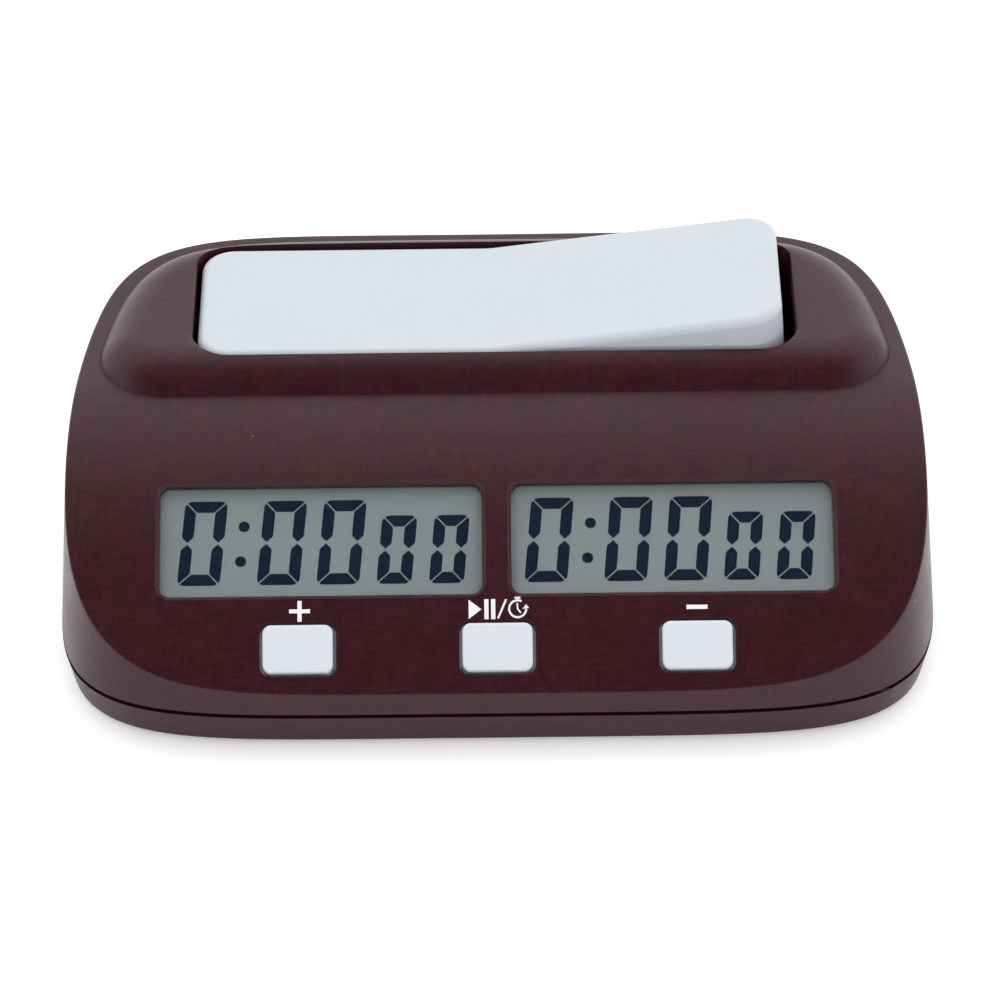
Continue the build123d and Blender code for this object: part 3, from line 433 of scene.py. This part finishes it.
# ---------------------------------------------------------------- refined copies of CAD nodes
def refined(node):
    """A copy of a CAD node with shared vertices and normals that keep its flat faces flat."""
    source = frame["nodes"][node]
    mesh = bmesh.new()
    mesh.from_mesh(source.data)
    bmesh.ops.remove_doubles(mesh, verts=mesh.verts, dist=MERGE)
    bmesh.ops.dissolve_degenerate(mesh, edges=mesh.edges, dist=SLIVER)
    flat = radians(0.3)             # faces that turn less than this become one
    bmesh.ops.dissolve_limit(mesh, angle_limit=flat, verts=mesh.verts, edges=mesh.edges)
    piece = new_piece(node + "_skin", mesh, source["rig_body"], smooth=32)
    weighted = piece.modifiers.new("flat_faces", "WEIGHTED_NORMAL")
    weighted.keep_sharp = True
    weighted.weight = 80
    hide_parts(node)
    return piece


# ---------------------------------------------------------------- digits and symbols
DIGIT_SLANT = 0.091
STROKE = 2.1 * MM
LIGHT_GAP = 0.24 * MM
DIGIT_CORNER = 1.35 * MM
BIG_DIGIT = (7.6 * MM, 15.8 * MM)
SMALL_DIGIT = (6.25 * MM, 12.8 * MM)
DIGIT_FOOT = -7.5 * MM             # from the middle of the glass
BIG_PLACES = [-21.05 * MM, -6.95 * MM, 3.65 * MM]
SMALL_PLACES = [13.45 * MM, 22.75 * MM]
DOT_RADIUS = 1.0 * MM
DOT_CORNERS = 24
DOT_PLACES = [(-13.68 * MM, 3.48 * MM), (-14.28 * MM, -3.05 * MM)]
DIGIT_PLATE = (0.002 * MM, 0.03 * MM)       # the lit plates' lower and upper faces over the glass
RIGHT_SHIFT = -0.75 * MM            # the digits of the right glass sit a little to the left


def arc(centre, radius, start, end, count):
    """Points on an arc, angles in degrees."""
    angles = [radians(start + (end - start) * i / count) for i in range(count + 1)]
    return [(centre[0] + radius * cos(a), centre[1] + radius * sin(a)) for a in angles]


def zero_segments(size, centre, foot):
    """The six lit segments of a slanted zero: top, bottom and the four uprights."""
    half_width, half_height = size[0] / 2, size[1] / 2
    side = LIGHT_GAP * sqrt(0.5)
    inner_x, inner_y = half_width - STROKE, half_height - STROKE
    spread = degrees(LIGHT_GAP / 2 / DIGIT_CORNER)
    corner = (half_width - DIGIT_CORNER, half_height - DIGIT_CORNER)
    cap = [(-inner_x + side, inner_y), (inner_x - side, inner_y)]
    cap += arc(corner, DIGIT_CORNER, 45 + spread, 90, 6)
    cap += arc((-corner[0], corner[1]), DIGIT_CORNER, 90, 135 - spread, 6)
    shoulder = side + STROKE / 2
    upright_part = [(half_width - STROKE / 2, side), (half_width, shoulder)]
    upright_part += arc(corner, DIGIT_CORNER, 0, 45 - spread, 6)
    upright_part += [(inner_x, inner_y - side), (inner_x, shoulder)]
    segments = []
    turned = [(1, 1, cap), (1, -1, cap)]
    turned += [(x, y, upright_part) for x, y in ((1, 1), (-1, 1), (1, -1), (-1, -1))]
    for flip_x, flip_y, shape in turned:
        points = [(x * flip_x, y * flip_y) for x, y in shape]
        if flip_x * flip_y < 0:
            points.reverse()
        segments.append([(centre + x + DIGIT_SLANT * y, foot + half_height + y) for x, y in points])
    return segments


def thin_plates(name, outlines, place, heights, material):
    """Thin closed plates; place(x, y, height) puts a flat outline's point in space."""
    mesh = bmesh.new()
    for outline in outlines:
        lower, upper = [[mesh.verts.new(place(x, y, h)) for x, y in outline] for h in heights]
        mesh.faces.new(upper)
        mesh.faces.new(reversed(lower))
        for i in range(len(outline)):
            j = (i + 1) % len(outline)
            mesh.faces.new((lower[i], lower[j], upper[j], upper[i]))
    mesh.normal_update()
    bmesh.ops.triangulate(mesh, faces=[face for face in mesh.faces if len(face.verts) > 4])
    piece = new_piece(name, mesh)
    paint(piece, material)


def make_digits(side, material):
    """Lit segments on one glass: a digit, a colon, two digits and two smaller ones."""
    glass = side + "_lcd"
    u, v, top = middle(glass, ACROSS), middle(glass, UP), span(glass, OUT)[1]
    shift = RIGHT_SHIFT if side == "right" else 0
    outlines = []
    for place in BIG_PLACES:
        outlines += zero_segments(BIG_DIGIT, place, DIGIT_FOOT)
    for place in SMALL_PLACES:
        outlines += zero_segments(SMALL_DIGIT, place, DIGIT_FOOT)
    last = 360 * (1 - 1 / DOT_CORNERS)
    outlines += [arc(dot, DOT_RADIUS, 0, last, DOT_CORNERS - 1) for dot in DOT_PLACES]

    def place(x, y, height):
        return display_point(u + x + shift, v + y, top + height)

    thin_plates(side + "_digits", outlines, place, DIGIT_PLATE, material)


def bar(start, end, width):
    """Straight stroke between two points."""
    a, b = Vector(start), Vector(end)
    along = (b - a).normalized() * width / 2
    side = Vector((-along.y, along.x))
    return [tuple(p) for p in (a - side, b - side, b + side, a + side)]


def band(centre, radius, width, start, end):
    """Open ring between two angles."""
    steps = 40
    outer = arc(centre, radius + width / 2, start, end, steps)
    return outer + arc(centre, radius - width / 2, end, start, steps)


THIN, MEDIUM, THICK = 0.27, 0.36, 0.75       # widths of the symbols' strokes, in mm


def key_symbols():
    """Outlines of the symbols over the keys, in mm about each symbol's middle."""
    plus = [bar((x * 1.85, 0), (x * 0.37, 0), 0.7) for x in (-1, 1)] + [bar((0, -1.85), (0, 1.85), 0.74)]
    minus = [bar((-1.86, 0), (1.86, 0), THICK)]
    triangle = [(-5.05, -1.72), (-2.8, 0), (-5.05, 1.72)]
    pause = [bar((x, -1.78), (x, 1.78), THICK) for x in (-1.91, -0.71)]
    slash = bar((0.12, -1.66), (1.58, 1.72), MEDIUM)
    dial = (3.6, 0.02)
    radius = 1.5
    stopwatch = [
        band(dial, radius, MEDIUM, 62, 358),
        bar((dial[0] - 0.5, 1.98), (dial[0] + 0.5, 1.98), MEDIUM),
        bar((dial[0], 1.5), (dial[0], 1.95), 0.42),
        [(dial[0] + 0.85, -0.02), (dial[0] + 2.0, 0.12), (dial[0] + 1.5, 0.8)],
        bar((dial[0] - 0.08, 1.05), (dial[0] - 0.02, 0.05), THIN),
        bar((dial[0] - 0.08, 0.12), (dial[0] + 0.55, -0.72), THIN),
    ]
    return {"plus": plus, "play_pause": [triangle, *pause, slash, *stopwatch], "minus": minus}


SYMBOL_RISE = 6.7 * MM              # from the middle of a key to the middle of its symbol
SYMBOL_SHIFT = {"plus": 0.35 * MM}  # printed a little to the right of its key
SYMBOL_START = 5 * MM               # height over the face from which the case is looked for
SYMBOL_PLATE = (-0.02 * MM, 0.03 * MM)      # the printed plates' lower and upper faces over the case


def make_symbols(case, material):
    """White symbols printed on the face over the keys."""
    surface = BVHTree.FromObject(case, bpy.context.evaluated_depsgraph_get())
    for key, outlines in key_symbols().items():
        u = middle(key + "_button", ACROSS) + SYMBOL_SHIFT.get(key, 0)
        v = KEY_V + SYMBOL_RISE

        def place(x, y, height):
            start = display_point(u + x * MM, v + y * MM, on_face(u, v) + SYMBOL_START)
            spot, normal = surface.ray_cast(start, -OUT)[:2]
            return spot + normal * height

        thin_plates(key + "_symbol", outlines, place, SYMBOL_PLATE, material)


# ---------------------------------------------------------------- materials
def paint(piece, material):
    """Gives a piece one material."""
    piece.data.materials.clear()
    piece.data.materials.append(material)


class Shade:
    """A procedural material under construction, in object coordinates."""

    def __init__(self, name, colour, roughness, **settings):
        self.material = bpy.data.materials.new(name)
        self.material.use_nodes = True
        self.tree = self.material.node_tree
        self.shader = next(n for n in self.tree.nodes if n.type == "BSDF_PRINCIPLED")
        self.shader.inputs["Base Color"].default_value = (*colour, 1)
        self.shader.inputs["Roughness"].default_value = roughness
        for socket, value in settings.items():
            self.shader.inputs[socket.replace("_", " ")].default_value = value
        self.spot = self.tree.nodes.new("ShaderNodeTexCoord").outputs["Object"]
        self.normal = None

    def add(self, kind, inputs=None, **settings):
        """A node with its settings; inputs are values or sockets."""
        node = self.tree.nodes.new(kind)
        for key, value in settings.items():
            setattr(node, key, value)
        for key, value in (inputs or {}).items():
            if isinstance(value, bpy.types.NodeSocket):
                self.tree.links.new(value, node.inputs[key])
            else:
                node.inputs[key].default_value = value
        return node

    def noise(self, scale, detail=2.0, stretch=(1, 1, 1)):
        """Soft noise with so many features a metre."""
        spot = self.add("ShaderNodeMapping", {"Vector": self.spot, "Scale": stretch}).outputs[0]
        inputs = {"Vector": spot, "Scale": scale, "Detail": detail}
        return self.add("ShaderNodeTexNoise", inputs).outputs["Fac"]

    def between(self, value, low, high, out_low=0.0, out_high=1.0):
        """A value's stretch from low to high, spread over another range."""
        inputs = {"Value": value, "From Min": low, "From Max": high,
                  "To Min": out_low, "To Max": out_high}
        return self.add("ShaderNodeMapRange", inputs).outputs[0]

    def plus(self, one, other):
        """Sum of two values or sockets."""
        return self.add("ShaderNodeMath", {0: one, 1: other}, operation="ADD").outputs[0]

    def times(self, one, other):
        """Product of two values or sockets."""
        return self.add("ShaderNodeMath", {0: one, 1: other}, operation="MULTIPLY").outputs[0]

    def mix(self, share, one, other):
        """Colour between two others, given as colours or sockets."""
        node = self.add("ShaderNodeMix", data_type="RGBA")
        colours = [c if isinstance(c, bpy.types.NodeSocket) else (*c, 1) for c in (one, other)]
        for index, value in zip((0, 6, 7), (share, *colours)):
            if isinstance(value, bpy.types.NodeSocket):
                self.tree.links.new(value, node.inputs[index])
            else:
                node.inputs[index].default_value = value
        return node.outputs[2]

    def bump(self, height, distance):
        """Adds relief with the given height in metres."""
        inputs = {"Height": height, "Distance": distance, "Strength": 1.0}
        if self.normal:
            inputs["Normal"] = self.normal
        self.normal = self.add("ShaderNodeBump", inputs).outputs[0]
        self.tree.links.new(self.normal, self.shader.inputs["Normal"])

    def set(self, socket, value):
        """Feeds a socket of the shader."""
        self.tree.links.new(value, self.shader.inputs[socket])

    def specks(self, scale, size, share):
        """Small round spots, a share of the cells having one."""
        cell = self.add("ShaderNodeTexVoronoi", {"Vector": self.spot, "Scale": scale})
        spot = self.between(cell.outputs["Distance"], size, size * 0.6)
        chosen = self.add("ShaderNodeSeparateColor", {"Color": cell.outputs["Color"]}).outputs[0]
        return self.times(spot, self.between(chosen, share, share - 0.01))


CLOUDS, GRAIN, THREADS, SPECKS, SCRATCHES = 60, 2600, 1500, 110, 26     # features a metre
SPECK_SIZE = 0.02                   # share of a cell
SPECK_RISE = 0.03 * MM


def tinted(colour, factor):
    """A colour made lighter or darker."""
    return tuple(min(c * factor, 1) for c in colour)


def plastic(name, colour, roughness, grain, vary=0.1, dust=(0.5, 0.46, 0.44), dust_share=0.3,
            weave=0.0, **settings):
    """Moulded plastic: fine grain, slight mottling, faint scratches and specks of dust.

    A weave above 0 adds a faint linen texture to the colour.
    """
    shade = Shade(name, colour, roughness, **settings)
    cloud = shade.noise(CLOUDS, 4)
    body = shade.mix(shade.between(cloud, 0.3, 0.7), tinted(colour, 1 - vary), tinted(colour, 1 + vary))
    fine = shade.noise(GRAIN, 3)
    light_grain = shade.mix(0.5, body, tinted(colour, 1 + 3 * vary))
    body = shade.mix(shade.between(fine, 0.35, 0.65), body, light_grain)
    if weave:
        threads = [shade.noise(THREADS, 2, stretch) for stretch in ((0.2, 1, 1), (1, 0.2, 0.2))]
        cross = shade.plus(*threads)
        body = shade.mix(shade.between(cross, 0.8, 1.2), tinted(colour, 1 - weave), body)
    specks = shade.specks(SPECKS, SPECK_SIZE, dust_share)
    shade.set("Base Color", shade.mix(specks, body, dust))
    scratch = shade.between(shade.noise(SCRATCHES, 5, (1, 34, 34)), 0.66, 0.7)
    rough = shade.between(shade.noise(140, 4), 0.3, 0.7, roughness - 0.04, roughness + 0.04)
    shade.set("Roughness", shade.plus(rough, shade.times(scratch, 0.08)))
    shade.bump(fine, grain)
    shade.bump(specks, SPECK_RISE)
    return shade.material


def metal(name, colour, roughness, stretch=(1, 1, 1)):
    """Plated or drawn metal with fine streaks and dull patches."""
    shade = Shade(name, colour, roughness, Metallic=1.0)
    patch = shade.between(shade.noise(120, 4), 0.35, 0.65)
    shade.set("Base Color", shade.mix(patch, tinted(colour, 0.82), tinted(colour, 1.08)))
    streak = shade.noise(900, 4, stretch)
    shade.set("Roughness", shade.between(streak, 0.3, 0.7, roughness - 0.07, roughness + 0.1))
    shade.bump(streak, 0.01 * MM)
    return shade.material


def rubber(name, colour):
    """Matte rubber with a dusty bloom."""
    shade = Shade(name, colour, 0.8)
    bloom = shade.between(shade.noise(350, 5), 0.4, 0.7)
    shade.set("Base Color", shade.mix(bloom, colour, tuple(c + 0.02 for c in colour)))
    shade.set("Roughness", shade.between(shade.noise(900, 3), 0.3, 0.7, 0.7, 0.9))
    shade.bump(shade.noise(2200, 3), 0.03 * MM)
    return shade.material


def circuit_board(name, colour):
    """Solder mask over copper tracks."""
    shade = Shade(name, colour, 0.35)
    cell = shade.add("ShaderNodeTexVoronoi", {"Vector": shade.spot, "Scale": 260.0},
                     distance="MANHATTAN")
    tracks = shade.between(cell.outputs["Distance"], 0.42, 0.47)
    shade.set("Base Color", shade.mix(tracks, colour, tinted(colour, 1.7)))
    shade.set("Roughness", shade.between(shade.noise(300, 3), 0.3, 0.7, 0.28, 0.42))
    shade.bump(tracks, 0.04 * MM)
    return shade.material


def lcd_glass(name, colour):
    """Grey-green liquid crystal behind a matte polariser."""
    shade = Shade(name, colour, 0.42, Specular_IOR_Level=0.2)
    cloud = shade.between(shade.noise(45, 3), 0.3, 0.7)
    ground = shade.mix(cloud, tinted(colour, 0.97), tinted(colour, 1.03))
    fine = shade.between(shade.noise(3500, 2), 0.3, 0.7)
    shade.set("Base Color", shade.mix(fine, ground, shade.mix(0.5, ground, tinted(colour, 1.09))))
    shade.set("Roughness", shade.between(shade.noise(500, 3), 0.3, 0.7, 0.36, 0.48))
    shade.bump(fine, 0.002 * MM)
    return shade.material


def ink(name, colour, roughness, wear=0.05):
    """Printed or switched ink with slightly uneven cover."""
    shade = Shade(name, colour, roughness, Specular_IOR_Level=0.0)
    patch = shade.between(shade.noise(1200, 4), 0.3, 0.7)
    shade.set("Base Color", shade.mix(patch, tinted(colour, 1 - wear), tinted(colour, 1 + wear)))
    rough = shade.between(shade.noise(900, 3), 0.3, 0.7, roughness - 0.05, roughness + 0.05)
    shade.set("Roughness", rough)
    shade.bump(patch, 0.004 * MM)
    return shade.material


def clear_window(name):
    """Clear acrylic with hairline scratches."""
    shade = Shade(name, (0.97, 0.98, 0.975), 0.04, Transmission_Weight=1.0, IOR=1.2)
    scratch = shade.between(shade.noise(30, 5, (1, 40, 40)), 0.66, 0.7)
    shade.set("Roughness", shade.between(scratch, 0, 1, 0.02, 0.12))
    return shade.material


COPPER_LENGTH, COPPER_BLEND = 16 * MM, 0.2 * MM
NUB_LENGTH, NUB_BLEND = 1.9 * MM, 0.1 * MM


def wrapped_cell(name):
    """Printed sleeve of the cell: a dark body and a copper-coloured end."""
    black, copper, steel = (0.02, 0.02, 0.022), (0.55, 0.24, 0.09), (0.6, 0.6, 0.58)
    shade = Shade(name, black, 0.28)
    along = shade.add("ShaderNodeSeparateXYZ", {"Vector": shade.spot}).outputs["X"]
    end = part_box("battery_cell")[1].x
    bright = shade.between(along, end - COPPER_LENGTH, end - COPPER_LENGTH + COPPER_BLEND)
    nub = shade.between(along, end - NUB_LENGTH, end - NUB_LENGTH + NUB_BLEND)
    shade.set("Base Color", shade.mix(nub, shade.mix(bright, black, copper), steel))
    shade.set("Metallic", bright)
    shade.set("Roughness", shade.between(shade.noise(200, 4), 0.3, 0.7, 0.22, 0.36))
    shade.bump(shade.noise(300, 3), 0.02 * MM)
    return shade.material


MAROON = (0.039, 0.0038, 0.0095)
WHITE = (0.575, 0.625, 0.685)
makers = {
    "case_maroon": lambda n: plastic(n, MAROON, 0.36, 0.022 * MM, vary=0.13, weave=0.3,
                                     Specular_IOR_Level=0.38),
    "base_maroon": lambda n: plastic(n, tinted(MAROON, 0.95), 0.4, 0.024 * MM, vary=0.13, weave=0.3,
                                     Specular_IOR_Level=0.36),
    "rocker_white": lambda n: plastic(n, WHITE, 0.42, 0.006 * MM, vary=0.012, dust=(0.5, 0.5, 0.5),
                                      dust_share=0.12),
    "key_white": lambda n: plastic(n, (0.72, 0.76, 0.83), 0.38, 0.005 * MM, vary=0.012,
                                   dust=(0.5, 0.5, 0.5), dust_share=0.1),
    "window_clear": clear_window,
    "lcd_glass": lambda n: lcd_glass(n, (0.182, 0.214, 0.219)),
    "frame_white": lambda n: plastic(n, (0.7, 0.7, 0.68), 0.5, 0.01 * MM, vary=0.02),
    "zebra_rubber": lambda n: rubber(n, (0.5, 0.42, 0.38)),
    "board_green": lambda n: circuit_board(n, (0.02, 0.14, 0.05)),
    "epoxy_black": lambda n: plastic(n, (0.012, 0.012, 0.013), 0.25, 0.01 * MM),
    "component_metal": lambda n: metal(n, (0.6, 0.6, 0.58), 0.3),
    "component_brown": lambda n: plastic(n, (0.35, 0.22, 0.13), 0.5, 0.01 * MM),
    "component_black": lambda n: plastic(n, (0.02, 0.02, 0.02), 0.5, 0.01 * MM),
    "switch_black": lambda n: plastic(n, (0.015, 0.015, 0.016), 0.45, 0.01 * MM),
    "stem_white": lambda n: plastic(n, (0.68, 0.68, 0.62), 0.45, 0.008 * MM, vary=0.02),
    "steel": lambda n: metal(n, (0.58, 0.58, 0.59), 0.3),
    "screw_steel": lambda n: metal(n, (0.46, 0.46, 0.47), 0.36),
    "spring_steel": lambda n: metal(n, (0.66, 0.66, 0.66), 0.24, (1, 12, 12)),
    "battery_wrap": wrapped_cell,
    "brass": lambda n: metal(n, (0.72, 0.5, 0.2), 0.32, (1, 20, 1)),
    "ceramic_white": lambda n: plastic(n, (0.75, 0.73, 0.68), 0.5, 0.01 * MM, vary=0.03),
    "foot_rubber": lambda n: rubber(n, (0.018, 0.018, 0.019)),
    "lead_red": lambda n: plastic(n, (0.45, 0.015, 0.012), 0.45, 0.01 * MM),
    "lead_black": lambda n: plastic(n, (0.014, 0.014, 0.014), 0.45, 0.01 * MM),
    "lead_white": lambda n: plastic(n, (0.7, 0.7, 0.67), 0.45, 0.01 * MM, vary=0.02),
}
materials = {slot: make(slot) for slot, make in makers.items()}
slots = {part["node"]: part["material_slot"] for part in frame["record"]["subparts"]}
for node, thing in frame["nodes"].items():
    paint(thing, materials[slots[node]])

# ---------------------------------------------------------------- pieces
cover = make_upper_case()
paint(cover, materials["case_maroon"])
for node in ("rocker", "lower_case", "battery_door", *(key + "_button" for key in keys)):
    paint(refined(node), materials[slots[node]])
for side in sides:
    frame["nodes"][side + "_window_lens"].visible_shadow = False
digit_ink = ink("digit_ink", (0.001, 0.0075, 0.02), 0.5)
symbol_ink = ink("symbol_ink", (0.9, 0.92, 0.92), 0.5, 0.03)
for side in sides:
    make_digits(side, digit_ink)
make_symbols(cover, symbol_ink)


# ---------------------------------------------------------------- floor, light and camera
FLOOR_RADIUS = 6
FLOOR_COLOUR = (0.9, 0.9, 0.9)
FLOOR_GLOW = 0.36                   # keeps the floor white under soft light
SKY_AIM = (0, 0.72, -0.69)          # the sky brightens towards this direction
SKY_START, SKY_END = -1.0, -0.38    # cosines of the angle to it between which it brightens
SKY_POWER = 1.5
SKY_LIGHT, SKY_BASE = 1.2, 0.08     # brightness added towards the aim, and everywhere
LIGHT_AIM = (0, 0, 0.03)
LIGHTS = {                          # place and size in metres, power in watts
    "top_light": ((0, 0.1, 1.2), (1.4, 1.0), 3.6),
    "front_light": ((0, -0.85, 0.85), (1.4, 0.8), 4.8),
}
CAMERA_AIM = Vector((0.76, -4.64, 20)) * MM
CAMERA_DISTANCE = 945.47 * MM
CAMERA_LENS = 186.8
CAMERA_ELEVATION, CAMERA_YAW, CAMERA_ROLL = radians(36.917), radians(0.07), radians(-0.694)


def make_floor():
    """Plain pale floor."""
    mesh = bmesh.new()
    bmesh.ops.create_circle(mesh, cap_ends=True, segments=96, radius=FLOOR_RADIUS)
    floor = new_piece("floor", mesh, None)
    shade = Shade("floor_white", FLOOR_COLOUR, 0.6, Emission_Color=(1, 1, 1, 1),
                  Emission_Strength=FLOOR_GLOW)
    paint(floor, shade.material)


def make_world():
    """Pale surroundings, dark over the front and brightest towards the back."""
    world = bpy.data.worlds.new("surroundings")
    world.use_nodes = True
    tree = world.node_tree
    bpy.context.scene.world = world
    background = next(n for n in tree.nodes if n.type == "BACKGROUND")
    direction = tree.nodes.new("ShaderNodeTexCoord").outputs["Generated"]

    turned = tree.nodes.new("ShaderNodeVectorMath")
    turned.operation = "DOT_PRODUCT"
    turned.inputs[1].default_value = Vector(SKY_AIM).normalized()
    tree.links.new(direction, turned.inputs[0])
    ramp = tree.nodes.new("ShaderNodeMapRange")
    ramp.inputs["From Min"].default_value = SKY_START
    ramp.inputs["From Max"].default_value = SKY_END
    tree.links.new(turned.outputs["Value"], ramp.inputs["Value"])
    light = ramp.outputs[0]
    for operation, number in (("POWER", SKY_POWER), ("MULTIPLY", SKY_LIGHT), ("ADD", SKY_BASE)):
        node = tree.nodes.new("ShaderNodeMath")
        node.operation = operation
        tree.links.new(light, node.inputs[0])
        node.inputs[1].default_value = number
        light = node.outputs[0]
    tree.links.new(light, background.inputs["Strength"])
    background.inputs["Color"].default_value = (1, 1, 1, 1)


def area_light(name, place, size, power):
    """Soft rectangular light that is not mirrored in glossy surfaces."""
    data = bpy.data.lights.new(name, "AREA")
    data.shape = "RECTANGLE"
    data.size, data.size_y = size
    data.energy = power
    light = bpy.data.objects.new(name, data)
    light.location = place
    light.visible_glossy = False
    light.rotation_euler = (Vector(LIGHT_AIM) - Vector(place)).to_track_quat("-Z", "Y").to_euler()
    bpy.context.scene.collection.objects.link(light)


def make_camera():
    """Camera above the front, at the height, roll and distance of the reference view."""
    level = cos(CAMERA_ELEVATION)
    back = Vector((sin(CAMERA_YAW) * level, -cos(CAMERA_YAW) * level, sin(CAMERA_ELEVATION)))
    right = (-back).cross(Vector((0, 0, 1))).normalized()
    above = right.cross(-back)
    tilted_right = right * cos(CAMERA_ROLL) + above * sin(CAMERA_ROLL)
    tilted_above = above * cos(CAMERA_ROLL) - right * sin(CAMERA_ROLL)
    data = bpy.data.cameras.new("camera")
    data.sensor_width = 36
    data.lens = CAMERA_LENS
    camera = bpy.data.objects.new("camera", data)
    turn = Matrix((tilted_right, tilted_above, back)).transposed().to_4x4()
    camera.matrix_world = Matrix.Translation(CAMERA_AIM + back * CAMERA_DISTANCE) @ turn
    bpy.context.scene.collection.objects.link(camera)
    bpy.context.scene.camera = camera


make_floor()
make_world()
make_camera()
for name, (place, size, power) in LIGHTS.items():
    area_light(name, place, size, power)
bpy.context.scene.view_settings.view_transform = "Standard"
